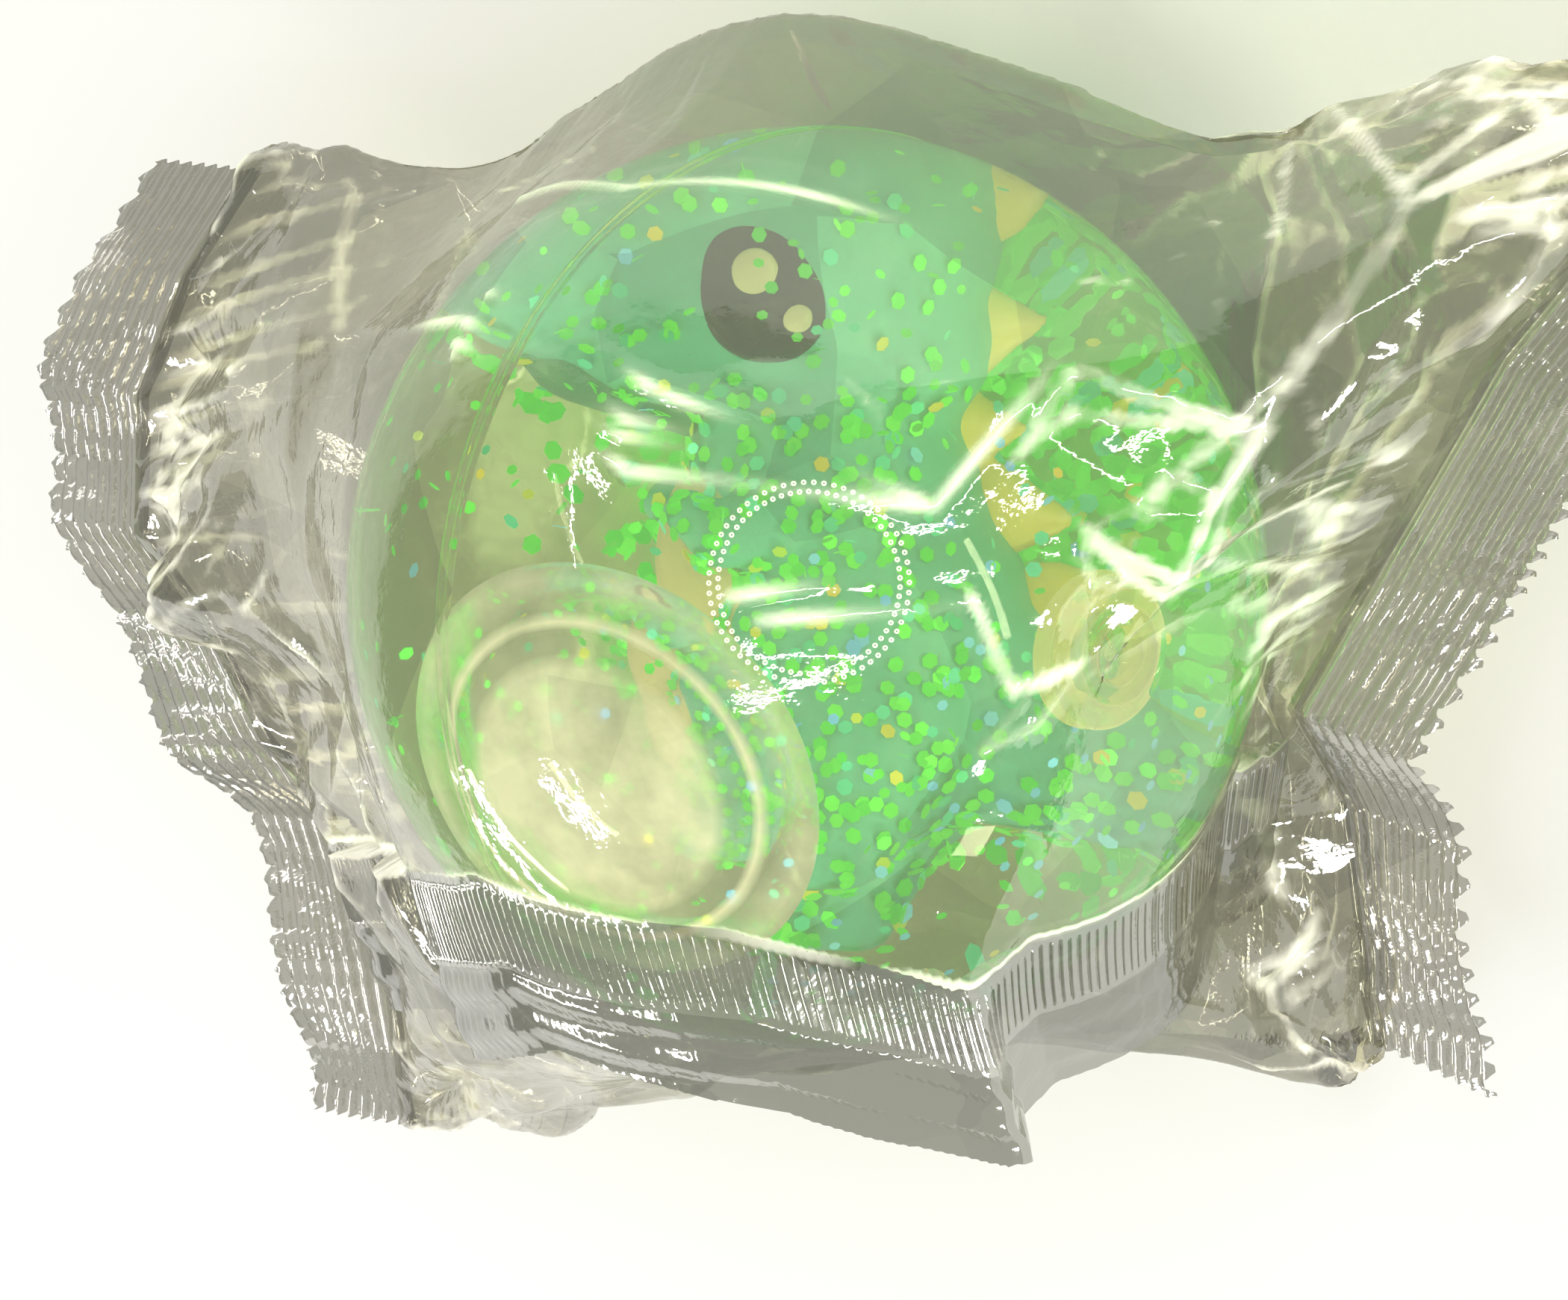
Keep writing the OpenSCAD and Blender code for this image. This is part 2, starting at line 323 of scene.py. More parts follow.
def misted_pvc():
    """The dry wall over the pocket, fogged by fine drops that make it pale."""
    made, tree = start_material("pvc_clear_misted")
    place = add(tree, "TexCoord")
    drops = add(tree, "TexNoise", {"Vector": place.outputs["Object"], "Scale": 170.0, "Detail": 5.0})
    glass = add(tree, "BsdfGlass", {"Color": linear("#ffffff"), "Roughness": 0.0, "IOR": wet_ior})
    fog = add(tree, "BsdfTranslucent", {"Color": linear("#ffe8f4")})
    sheen = add(tree, "BsdfDiffuse", {"Color": linear("#ffecf4")})
    both = add(tree, "AddShader", {0: fog.outputs[0], 1: sheen.outputs[0]})
    flat = add(tree, "VectorMath", {0: place.outputs["Object"], 1: (1, 1, 0)}, operation="MULTIPLY")
    radius = add(tree, "VectorMath", {0: flat.outputs[0]}, operation="LENGTH")
    rings = add(tree, "ValToRGB", {"Fac": add(tree, "Math", {
        0: radius.outputs["Value"], 1: 20 * MM}, operation="DIVIDE").outputs[0]})
    for place_on, amount in ((0.50, 0.48), (0.56, 0.14), (0.64, 0.08), (0.67, 0.6), (0.71, 0.1), (0.82, 0.3)):
        rings.color_ramp.elements.new(place_on).color = (amount, amount, amount, 1)
    rings.color_ramp.elements[0].color = (0.50, 0.50, 0.50, 1)
    rings.color_ramp.elements[-1].color = (0.0, 0.0, 0.0, 1)
    amount = add(tree, "Math", {0: rings.outputs["Color"], 1: drops.outputs["Fac"]}, operation="MULTIPLY")
    amount = add(tree, "Math", {0: amount.outputs[0], 1: 3.1}, operation="MULTIPLY")
    misty = add(tree, "MixShader", {0: amount.outputs[0], 1: glass.outputs[0], 2: both.outputs[0]})
    show(tree, through(tree, misty, "#fbfdf8"))
    return made


dome_mesh = revolved("pocket_dome", pocket_profile(), 160, at_ball)
dome = as_piece("air_pocket_dome", dome_mesh, misted_pvc(), "filling")


# ---- Fill plug and its seat ----
# A clear stopper glued into a thick moulded seat. Glue has whitened its rim and its seat's rim, and
# the gate mark in the middle is cloudy.
def glued_plug(axis):
    """Clear PVC with cloudy rings round the plug's own axis, where the glue and the gate mark are."""
    made, tree = start_material("pvc_glued_plug")
    place = add(tree, "TexCoord")
    from_centre = add(tree, "VectorMath", {0: place.outputs["Object"], 1: ball_centre}, operation="SUBTRACT")
    across = add(tree, "VectorMath", {0: from_centre.outputs[0], 1: axis}, operation="CROSS_PRODUCT")
    radius = add(tree, "VectorMath", {0: across.outputs[0]}, operation="LENGTH")
    cloud = add(tree, "ValToRGB", {"Fac": add(tree, "Math", {
        0: radius.outputs["Value"], 1: 6.2 * MM}, operation="DIVIDE").outputs[0]})
    for place_on, amount in ((0.10, 0.35), (0.14, 0.12), (0.36, 0.10), (0.40, 0.26), (0.45, 0.12),
                             (0.62, 0.12), (0.66, 0.42), (0.72, 0.30), (0.92, 0.34)):
        cloud.color_ramp.elements.new(place_on).color = (amount, amount, amount, 1)
    cloud.color_ramp.elements[0].color = (0.4, 0.4, 0.4, 1)
    cloud.color_ramp.elements[-1].color = (0.75, 0.75, 0.75, 1)
    clear = add(tree, "BsdfTransparent", {"Color": linear("#f6f8ea")})
    lit_behind = add(tree, "BsdfTranslucent", {"Color": linear("#e4dfbc")})
    lit_before = add(tree, "BsdfDiffuse", {"Color": linear("#d9d3b4")})
    milk = add(tree, "AddShader", {0: lit_behind.outputs[0], 1: lit_before.outputs[0]})
    body = add(tree, "MixShader", {0: cloud.outputs["Color"], 1: clear.outputs[0], 2: milk.outputs[0]})
    gloss = add(tree, "BsdfGlossy", {"Color": linear("#ffffff"), "Roughness": 0.05})
    show(tree, add(tree, "MixShader", {0: 0.07, 1: body.outputs[0], 2: gloss.outputs[0]}))
    return made


plug_points = [vertex.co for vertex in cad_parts["fill_plug"].data.vertices]
plug_axis = (sum(plug_points, Vector()) / len(plug_points) - ball_centre).normalized()
plug_material = glued_plug(plug_axis)
for name in ("plug_seat", "fill_plug"):
    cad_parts[name].data.materials.clear()
    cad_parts[name].data.materials.append(plug_material)


# ---- Figure ----
# A toy dinosaur moulded in soft teal vinyl, its belly, spikes and eyes painted. It is sunk, and
# lies on its right side at the bottom of the ball with its head up.
figure_frame = (Matrix.Translation(ball_centre + Vector((7.2, 8.7, -15)) * MM)
                @ Euler([math.radians(a) for a in (120.8, -28.2, -15.7)]).to_matrix().to_4x4())


def moulded(name, blobs, voxel, material, relax=6):
    """One smooth moulding made of (centre, radii) balls in mm, melted together."""
    mesh = bpy.data.meshes.new(name)
    shape = bmesh.new()
    for centre, radii in blobs:
        radii = radii if hasattr(radii, "__len__") else (radii,) * 3
        place = Matrix.Translation(Vector(centre) * MM) @ Matrix.Diagonal(Vector(radii) * MM).to_4x4()
        bmesh.ops.create_icosphere(shape, subdivisions=4, radius=1, matrix=place)
    shape.to_mesh(mesh)
    shape.free()
    piece = as_piece(name, mesh, material, "figure")
    melt = piece.modifiers.new("melt", "REMESH")
    melt.mode = "VOXEL"
    melt.voxel_size = voxel * MM
    melt.use_smooth_shade = True
    soften = piece.modifiers.new("soften", "SMOOTH")
    soften.factor, soften.iterations = 0.5, relax
    applied = bpy.data.meshes.new_from_object(
        piece.evaluated_get(bpy.context.evaluated_depsgraph_get()))
    piece.modifiers.clear()
    piece.data = applied
    applied.transform(figure_frame)
    return piece


def chain(first, last, r_first, r_last, count=8):
    """Balls along a straight limb, from one radius to another."""
    first, last = Vector(first), Vector(last)
    return [(first.lerp(last, i / count), r_first + (r_last - r_first) * i / count)
            for i in range(count + 1)]


def both_sides(blobs):
    return blobs + [(Vector((c[0], -c[1], c[2])), r) for c, r in blobs]


def teal_vinyl():
    """Soft vinyl, moulded: matt teal, a little uneven, darker where paint and shade gather."""
    made, tree = start_material("vinyl_teal_moulded")
    place = add(tree, "TexCoord")
    cloud = add(tree, "TexNoise", {"Vector": place.outputs["Object"], "Scale": 120.0, "Detail": 4.0})
    ramp = add(tree, "ValToRGB", {"Fac": cloud.outputs["Fac"]})
    ramp.color_ramp.elements[0].position, ramp.color_ramp.elements[1].position = 0.35, 0.7
    ramp.color_ramp.elements[0].color = linear("#4fcbba")
    ramp.color_ramp.elements[1].color = linear("#6be0d0")
    skin = add(tree, "TexNoise", {"Vector": place.outputs["Object"], "Scale": 1400.0})
    bump = add(tree, "Bump", {"Strength": 0.1, "Distance": 0.0001, "Height": skin.outputs["Fac"]})
    base = add(tree, "BsdfPrincipled", {
        "Base Color": ramp.outputs["Color"], "Roughness": 0.42, "Normal": bump.outputs[0]})
    show(tree, base)
    return made


def painted(name, code, roughness=0.35):
    """A coat of toy enamel, brushed on by hand, so it is a touch uneven."""
    made, tree = start_material(name)
    place = add(tree, "TexCoord")
    cloud = add(tree, "TexNoise", {"Vector": place.outputs["Object"], "Scale": 300.0})
    shade = add(tree, "HueSaturation", {"Color": linear(code), "Value": 1.0})
    change = add(tree, "MapRange", {"Value": cloud.outputs["Fac"], "To Min": 0.85, "To Max": 1.12})
    tree.links.new(change.outputs[0], shade.inputs["Value"])
    base = add(tree, "BsdfPrincipled", {"Base Color": shade.outputs[0], "Roughness": roughness})
    show(tree, base)
    return made


vinyl = teal_vinyl()
head = [((3, 0, 18), (9.4, 9.2, 8.8)), ((9, 0, 17), (8.6, 8.2, 7.0)),
        ((15, 0, 17.4), (6.6, 6.8, 5.2)), ((1, 0, 13.5), (7.4, 7.4, 6.0))]
brows = both_sides(chain((1, 5.7, 22.6), (7.4, 6.1, 21.8), 2.0, 1.5, 5))
neck = chain((2.8, 0, 12), (1.2, 0, 3), 6.2, 8.0)
hips = [((0, 0, -1.5), (8.8, 9.0, 9.2)), ((0, 4, -6.5), (6.2, 5.6, 6)), ((0, -4, -6.5), (6.2, 5.6, 6))]
legs = both_sides(chain((0, 5.4, -8), (1.0, 5.8, -12.0), 4.4, 2.9)
                  + chain((1.0, 5.8, -12.6), (5.2, 6.2, -13.2), 2.3, 1.9))
arms = both_sides(chain((4.5, 6.8, 4.8), (7.8, 7.4, 3.8), 2.4, 1.8)
                  + chain((7.8, 7.4, 3.8), (9.6, 6.6, 5.2), 1.7, 1.3))
tail = chain((-5, 0, -4.5), (-13, 0, -8), 6.0, 3.3) + chain((-13, 0, -8), (-20, 0, -9.4), 3.3, 1.2)
figure_body = moulded("figure_body", head + brows + neck + hips + legs + arms + tail, 0.45, vinyl)
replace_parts(figure_body, "dino_head", "dino_trunk", "dino_arms", "dino_legs", "dino_tail")

jaw_blobs = chain((5, 0, 12.2), (14, 0, 13.4), 4.4, 3.2)
# Painted shade: the jaw is dark green to stand in for the shade under the head.
jaw = moulded("figure_jaw_painted_shade", jaw_blobs, 0.4, painted("vinyl_green_painted_shade", "#3f9f7c"))
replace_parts(jaw, "dino_jaw")

belly_blobs = [((3.6, 0, 2.5), (7.2, 6.6, 7.4)), ((2.6, 0, -2.5), (7.2, 7.0, 6.6))]
belly = moulded("figure_belly", belly_blobs, 0.4, painted("enamel_cream", "#efe3b0"))
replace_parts(belly, "dino_belly")

spike_places = [(-5.6, 20.6, 65, 3.1), (-4.4, 13.8, 85, 2.6), (-4.2, 9.2, 92, 2.3),
                (-6.4, 5.0, 98, 2.4), (-9.2, 0.2, 80, 2.4)]
spike_blobs = []
for x, z, lean, size in spike_places:
    tip = Vector((-math.sin(math.radians(lean)), 0, math.cos(math.radians(lean))))
    for i in range(9):
        t = i / 8
        middle = Vector((x, 0, z)) + tip * size * 1.5 * t
        radius = size * (1 - t) + 0.5 * t
        spike_blobs.append((middle, (radius, radius * 0.62, radius)))
spikes = moulded("figure_spikes", spike_blobs, 0.3, painted("enamel_yellow", "#fde75e"))
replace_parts(spikes, "dino_spikes")

eye_blobs = both_sides([((4.8, 7.0, 17.2), (4.5, 2.6, 4.1))])
eyes = moulded("figure_eyes", eye_blobs, 0.25, painted("enamel_navy", "#10283c", 0.12))
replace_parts(eyes, "dino_eyes")
glints = moulded("figure_eye_glints", both_sides([
    ((5.9, 9.3, 18.4), (1.35, 0.5, 1.35)), ((3.6, 9.2, 15.9), (0.9, 0.5, 0.9))]), 0.15,
    painted("enamel_cream_gloss", "#f6efce", 0.12), relax=2)
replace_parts(glints, "dino_eye_glints")


# ---- Glitter ----
# Hexagons punched from coloured metallised polyester film. Some cling to the wall, some float,
# and most have settled at the bottom and on the figure. A flake flashes when it faces a lamp, and
# each one also shines with a painted glow in its own colour, though it is no lamp.
random.seed(7)
flake_r, flake_t = 0.46 * MM, 0.04 * MM
settled_to = math.radians(52)
drift = math.radians(6.2)
clearance = 0.75
plug_gap = 0.6 * MM
drift_frames = [
    Matrix.Translation(figure_frame.translation) @ Matrix.Rotation(drift * step / 2, 4, "Z")
    @ Matrix.Translation(-figure_frame.translation) @ figure_frame for step in range(-2, 3)]
figure_blobs = (head + brows + neck + hips + legs + arms + tail + jaw_blobs + belly_blobs + spike_blobs
                + eye_blobs)
blob_places = np.array([frame_there @ (Vector(centre) * MM) - ball_centre
                        for frame_there in drift_frames for centre, radii in figure_blobs])
blob_reach = np.array([(max(radii) if hasattr(radii, "__len__") else radii) + clearance
                       for frame_there in drift_frames for centre, radii in figure_blobs]) * MM


def free_of_figure(spot):
    """True if a flake there, in metres from the ball's centre, stays clear of the drifting figure."""
    away = np.sqrt(((blob_places - np.array(spot)) ** 2).sum(axis=1))
    return bool((away > blob_reach).all())


plug_ways = [vertex.co - ball_centre for name in ("plug_seat", "fill_plug")
             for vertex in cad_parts[name].data.vertices]
plug_low = min(way.z for way in plug_ways) - plug_gap
plug_high = max(way.z for way in plug_ways) + plug_gap
plug_reach = min(way.length for way in plug_ways) - plug_gap


def clear_of_plug(spot):
    """The spot, drawn in from the wall where the plug passes as the ball turns round the water."""
    if plug_low < spot.z < plug_high and spot.length > plug_reach:
        return spot * (plug_reach / spot.length)
    return spot


def random_direction():
    z = random.uniform(-1, 1)
    a = random.uniform(0, 2 * math.pi)
    return Vector((math.sqrt(1 - z * z) * math.cos(a), math.sqrt(1 - z * z) * math.sin(a), z))


def flake_mesh(name, spots):
    """One thin hexagon for each (place from the ball's centre, facing, how far it may tumble)."""
    corners = [Vector((math.cos(a), math.sin(a), 0)) * flake_r for a in (math.pi * k / 3 for k in range(6))]
    points, faces = [], []
    for spot, facing, tumble in spots:
        facing = (facing + random_direction() * tumble).normalized()
        turn = facing.to_track_quat("Z", "Y").to_matrix().to_4x4()
        place = (Matrix.Translation(ball_centre + spot) @ turn
                 @ Matrix.Rotation(random.uniform(0, math.pi), 4, "Z"))
        low = len(points)
        high = low + 6
        for level in (-0.5, 0.5):
            points += [place @ (corner + Vector((0, 0, level * flake_t))) for corner in corners]
        faces += [[low + 5 - k for k in range(6)], [high + k for k in range(6)]]
        faces += [[low + k, low + (k + 1) % 6, high + (k + 1) % 6, high + k] for k in range(6)]
    mesh = bpy.data.meshes.new(name)
    mesh.from_pydata(points, [], faces)
    return mesh


def in_the_water(on_wall, floating, settled, toward=None):
    spots = []
    while len(spots) < on_wall:
        way = random_direction()
        if toward and way.dot(toward) < random.uniform(0.5, 0.95):
            continue
        spot = clear_of_plug(way * (inner_r - random.uniform(0.2, 0.5) * MM))
        if free_of_figure(spot):
            spots.append((spot, way, 0.2))
    while len(spots) < on_wall + floating:
        spot = clear_of_plug(random_direction() * (inner_r - 1.2 * MM) * random.random() ** 0.33)
        if spot.z < water_level - 3 * MM and free_of_figure(spot):
            spots.append((spot, random_direction(), 1.0))
    while len(spots) < on_wall + floating + settled:
        slope = random.triangular(0, settled_to, 0.75 * settled_to)
        a = random.uniform(0, 2 * math.pi)
        way = Vector((math.sin(slope) * math.cos(a), math.sin(slope) * math.sin(a), -math.cos(slope)))
        spot = way * (inner_r - random.uniform(0.3, 2.0) * MM)
        if free_of_figure(spot):
            spots.append((spot, way, 0.5))
    return spots


def on_figure(count):
    """Spots on the figure's upper side, thinner on its head."""
    able = [p for p in figure_body.data.polygons if p.normal.z > 0.1]
    spots = []
    while len(spots) < count:
        face = random.choice(able)
        if (figure_frame.inverted() @ face.center).z > 12 * MM and random.random() < 0.8:
            continue
        spots.append((face.center + face.normal * 0.35 * MM - ball_centre, face.normal.copy(), 0.3))
    return spots


def metallised(name, code, second):
    """Metallised polyester: a mirror with a dyed coat whose colour shifts from flake to flake.
    Its emission is a painted glow in the same colour: the flake shines though it is no lamp.
    """
    made, tree = start_material(name)
    place = add(tree, "NewGeometry")
    pick = add(tree, "ValToRGB", {"Fac": place.outputs["Random Per Island"]})
    pick.color_ramp.elements[0].color = linear(code)
    pick.color_ramp.elements[1].color = linear(second)
    # Painted glow: the emission makes each flake shine in its own colour without a lamp.
    show(tree, add(tree, "BsdfPrincipled", {
        "Base Color": pick.outputs["Color"], "Metallic": 0.35, "Roughness": 0.3,
        "Emission Color": pick.outputs["Color"], "Emission Strength": 0.55}))
    return made


toward_lower_right = (right * 0.30 - up * 0.62 + back * 0.7).normalized()
flake_kinds = [
    ("green", "#1fd60f", "#58f02c", in_the_water(230, 300, 5200), 650),
    ("teal", "#1fc78a", "#4be6c0", in_the_water(60, 70, 700), 120),
    ("gold", "#e0cf1c", "#a8e020", in_the_water(40, 10, 260), 40),
    ("blue", "#58b8ff", "#7fe0ff", in_the_water(60, 10, 60, toward_lower_right), 20),
]
for colour, first, second, spots, resting in flake_kinds:
    flake_foil_painted_glow = metallised("polyester_foil_painted_glow_" + colour, first, second)
    loose = as_piece("flakes_" + colour, flake_mesh("flakes_" + colour, spots), flake_foil_painted_glow,
                     "filling", smooth=False)
    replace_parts(loose, "glitter_" + colour)
    on_top = as_piece("resting_" + colour, flake_mesh("resting_" + colour, on_figure(resting)),
                      flake_foil_painted_glow, "figure", smooth=False)


# ---- Bag film ----
# One sheet of clear polypropylene film wrapped into a tube and pulled tight between the ball, the
# table and the two end seals. It was crushed in handling, so it is full of sharp creases.
film_r = ball_r + 0.6 * MM
rest_patch_r = 14 * MM
tube_round, tube_long = 250 * MM, 172 * MM
stations, around = 380, 560
pleat_count, pleat_high = 19, 1.9 * MM
off_table = 0.15 * MM
far_frame = Matrix.Translation(Vector((67, 18, 18)) * MM) @ Matrix.Rotation(math.radians(-6), 4, "Z")
plug_end_frame = (Matrix.Translation(Vector((-50, 6.8, 17)) * MM)
                  @ Euler((math.radians(-6.8), 0, math.radians(-25))).to_matrix().to_4x4()
                  @ Matrix.Diagonal((-1, 1, 1, 1)))
# Each end: its frame, its length, and its bow and rise in mm at places along it.
ends = {
    "far": (far_frame, 98 * MM, [(-49, -2, 0), (-40, 5, 3), (-29, 11, 5), (-16, 13, 7), (-6, 10, 4),
                                 (6, 6, 4), (16, 2, 0), (30, 0, 1), (39, 0, 2), (49, 3, -1)]),
    "plug": (plug_end_frame, 116 * MM, [(-58, 12, 2), (-40, 8, 2), (-20, 0, 3), (5, -7, 1),
                                        (22, -11, 4), (34, -7, -2), (58, 0, -1)]),
}
# The fin seal's root, as x and y over the bag, and the folds that tension pulls, from the ball's centre.
fin_root = [(-45, 30), (-38, 28), (-25, 22), (-8, 12), (14, 8), (40, 18), (62, 30), (75, 34)]
tent = Vector((-24, 22, 27))
plug_corner, far_corner, crown_corner = (-29, -18, 23), (-38, -32, 9), (-29, -38, 1)
tension_folds = [
    [(18, -36, -1), (4, -38, 4), (-12, -39, 3), crown_corner],
    [crown_corner, far_corner, (-36, -25, 15), plug_corner],
    [(62, -14, -12), (40, -24, 2), (14, -32, 16)],
    [(14, -32, 16), (-6, -27, 26), plug_corner],
    [(14, -31, 18), (-6, -26, 27), plug_corner],
    [(13, -30, 19), (-7, -24, 29), plug_corner],
    [(12, -33, 14), (-8, -29, 24), plug_corner],
    [(-15, -15, 32), (-28, -13, 23), (-43, -8, 11)],
    [(-17, -13, 32), (-30, -10, 23), (-44, -7, 10)],
    [(-29, 2, 24), (-33, 2, 20), (-37, -1, 16), (-33, -1, 20), (-29, 2, 24)],
    [(-56, -8, -17), (-44, -22, 2), crown_corner],
    [(62, 31, -10), (45, 12, 8), (33, 0, 19)],
    [(62, -8, -12), (48, 4, 2), (36, 14, 12)],
]


def bend_at(table, column, y):
    places = [row[0] for row in table]
    return np.interp(y, places, [row[column] for row in table])


def taut_shape():
    """The convex shape that the film is pulled into."""
    shape = bmesh.new()
    for i in range(1, 72):
        low = math.pi * (i / 72 - 0.5)
        for j in range(144):
            a = 2 * math.pi * j / 144
            shape.verts.new(ball_centre + film_r * Vector((
                math.cos(a) * math.cos(low), math.sin(a) * math.cos(low), math.sin(low))))
    for j in range(24):
        a = 2 * math.pi * j / 24
        shape.verts.new((rest_patch_r * math.cos(a), rest_patch_r * math.sin(a), off_table))
    for place, length, _ in ends.values():
        for side in (-0.5, 0.5):
            for height in (-0.15, 0.15):
                shape.verts.new(place @ Vector((0, side * length, height * MM)))
    for x in (-20, 0):
        shape.verts.new(Vector((x, -45, 22)) * MM)
    shape.verts.new(ball_centre + tent * MM)
    bmesh.ops.convex_hull(shape, input=list(shape.verts))
    tree = BVHTree.FromBMesh(shape)
    shape.free()
    return tree


def cut_across(s):
    """Where the bag is cut at s, 0 at the far seal and 1 at the plug's, and the cut's direction."""
    middle = 0.56
    stops = [(far_frame, 0.0), (Matrix.Translation(ball_centre), middle), (plug_end_frame, 1.0)]
    (first, low), (last, high) = stops[:2] if s < middle else stops[1:]
    t = (s - low) / (high - low)
    sideways = Vector((0, 1, 0))
    direction = (first.to_3x3() @ sideways).lerp(last.to_3x3() @ sideways, t)
    return first.translation.lerp(last.translation, t), direction.normalized()


def taut_grid():
    """The taut film as points along the bag and round it, from the fin seal's root and back."""
    shape = taut_shape()
    grid = np.zeros((stations, around, 3))
    rays = 900
    root_x, root_y = zip(*fin_root)
    for i in range(stations):
        origin, across = cut_across(0.003 + 0.994 * i / (stations - 1))
        loop = []
        for j in range(rays):
            a = 2 * math.pi * j / rays
            loop.append(shape.ray_cast(origin, across * math.cos(a) + Vector((0, 0, math.sin(a))))[0])
        loop = np.array(loop)
        wanted = np.interp(loop[:, 0], np.array(root_x) * MM, np.array(root_y) * MM)
        lower_half = np.arange(rays) >= rays // 2
        root = int(np.argmin(np.abs(loop[:, 1] - wanted) + lower_half))
        loop = np.roll(loop, -root, axis=0)
        loop = np.vstack([loop, loop[:1]])
        steps = np.concatenate([[0], np.cumsum(np.linalg.norm(np.diff(loop, axis=0), axis=1))])
        at = np.linspace(0, steps[-1], around)
        for k in range(3):
            grid[i, :, k] = np.interp(at, steps, loop[:, k])
    return grid


def outward(grid):
    along, round_it = np.gradient(grid, axis=0), np.gradient(grid, axis=1)
    normal = np.cross(round_it, along)
    normal /= np.linalg.norm(normal, axis=2, keepdims=True) + 1e-12
    sign = np.sign((normal * (grid - grid.mean(axis=1, keepdims=True))).sum(axis=2, keepdims=True))
    return normal * np.where(sign == 0, 1, sign)


def creased(spacing, height, seed):
    """A crumpled height map: random peaks joined by flat facets, with sharp folds between them."""
    draw = np.random.default_rng(seed)
    points, peaks = [], []
    for i in range(-1, int(tube_long / spacing) + 2):
        for j in range(-1, int(tube_round / spacing) + 2):
            points.append(Vector((i + draw.uniform(-0.1, 0.9), j + draw.uniform(-0.1, 0.9))) * spacing)
            peaks.append(draw.uniform(-1, 1) * height)
    found = delaunay_2d_cdt(points, [], [], 0, 1e-9)
    corners, faces, came_from = found[0], found[2], found[3]
    peak_at = [peaks[source[0]] for source in came_from]
    field = np.zeros((stations, around))
    step_u, step_v = tube_long / (stations - 1), tube_round / (around - 1)
    for face in faces:
        (ax, ay), (bx, by), (cx, cy) = (corners[k] for k in face[:3])
        size = (by - cy) * (ax - cx) + (cx - bx) * (ay - cy)
        rows = slice(max(0, int(min(ax, bx, cx) / step_u)), int(max(ax, bx, cx) / step_u) + 2)
        columns = slice(max(0, int(min(ay, by, cy) / step_v)), int(max(ay, by, cy) / step_v) + 2)
        part = field[rows, columns]
        if abs(size) < 1e-14 or part.size == 0:
            continue
        u = ((rows.start + np.arange(part.shape[0])) * step_u)[:, None]
        v = ((columns.start + np.arange(part.shape[1])) * step_v)[None, :]
        share_a = ((by - cy) * (u - cx) + (cx - bx) * (v - cy)) / size
        share_b = ((cy - ay) * (u - cx) + (ax - cx) * (v - cy)) / size
        share_c = 1 - share_a - share_b
        inside = np.minimum(np.minimum(share_a, share_b), share_c) >= -1e-6
        height_here = share_a * peak_at[face[0]] + share_b * peak_at[face[1]] + share_c * peak_at[face[2]]
        part[inside] = height_here[inside]
    return field


def fold_ridges(grid):
    """Height of the sharp ridge along each tension fold, and how much painted highlight its crest gets."""
    total, white = np.zeros(grid.shape[:2]), np.zeros(grid.shape[:2])
    for fold in tension_folds:
        nearest = np.full(grid.shape[:2], 1.0)
        for first, last in zip(fold, fold[1:]):
            a = np.array(ball_centre) + np.array(first) * MM
            span = np.array(ball_centre) + np.array(last) * MM - a
            t = np.clip(((grid - a) @ span) / (span @ span), 0, 1)
            nearest = np.minimum(nearest, np.linalg.norm(grid - a - t[..., None] * span, axis=2))
        inner, outer = np.clip(1 - nearest / (0.9 * MM), 0, 1), np.clip(1 - nearest / (3 * MM), 0, 1)
        total = np.maximum(total, 0.5 * MM * inner + 0.4 * MM * outer)
        white = np.maximum(white, np.exp(-(nearest / (0.48 * MM)) ** 2))
    return total, white


def drawn_in(made):
    """The film pulled in along both sides and bowed at its ends, clear of the ball and the table."""
    s = np.linspace(0, 1, stations)[:, None]
    near_side = np.clip((made[..., 1] - 38 * MM) / (28 * MM), 0, 1)
    made[..., 1] -= 7 * MM * near_side * np.sin(math.pi * s) ** 2
    far_side = np.clip((-made[..., 1] - 26 * MM) / (16 * MM), 0, 1)
    dips = 1.5 + 7 * np.exp(-((s - 0.24) / 0.12) ** 2) + 11 * np.exp(-((s - 0.78) / 0.13) ** 2)
    made[..., 1] += dips * MM * far_side * np.clip(8 * np.minimum(s, 1 - s), 0, 1)
    for side, (place, _, table) in zip((0, 1), ends.values()):
        near_end = np.clip(1 - np.abs(s - side) / 0.24, 0, 1)
        share = near_end ** 2 * (3 - 2 * near_end)
        local_y = (made - np.array(place.translation)) @ np.array(place.to_3x3() @ Vector((0, 1, 0)))
        outward_way = np.array(place.to_3x3() @ Vector((1, 0, 0)))
        made += (bend_at(table, 1, local_y / MM) * MM * share)[..., None] * outward_way
        made[..., 2] += bend_at(table, 2, local_y / MM) * MM * share
    from_ball = made - np.array(ball_centre)
    far = np.linalg.norm(from_ball, axis=2, keepdims=True)
    made = np.array(ball_centre) + from_ball * np.maximum(1.0, (ball_r + 0.4 * MM) / far)
    made[..., 2] = np.maximum(made[..., 2], off_table)
    made[:, -1] = made[:, 0]
    return made


